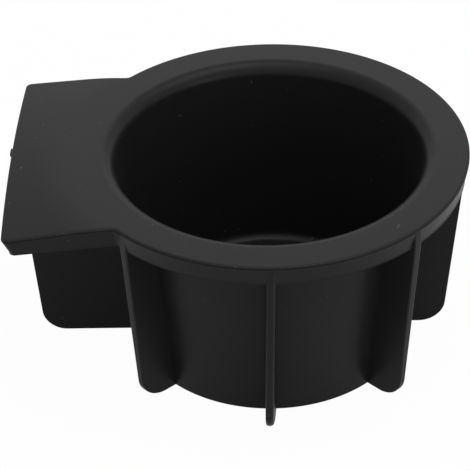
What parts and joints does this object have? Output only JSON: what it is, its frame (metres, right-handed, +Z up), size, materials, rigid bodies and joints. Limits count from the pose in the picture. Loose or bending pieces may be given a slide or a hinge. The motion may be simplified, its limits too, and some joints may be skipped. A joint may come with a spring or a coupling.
{
  "type": "car cup holder",
  "caption": "Drop-in car cup holder: a tapered cup under a flat flange with a side tab, centred in its well by thin radial fins.",
  "frame": {"origin": "on the cup's axis, in the plane of the base that the part stands on", "axes": "+Z up the cup's axis, out of its mouth; the tab points along -X"},
  "size_m": [0.1201, 0.1044, 0.058],
  "materials": {
    "rubber": "matte, fine even grain"
  },
  "bodies": {
    "root": {"cup_holder_insert": "rubber"}
  },
  "joints": []
}
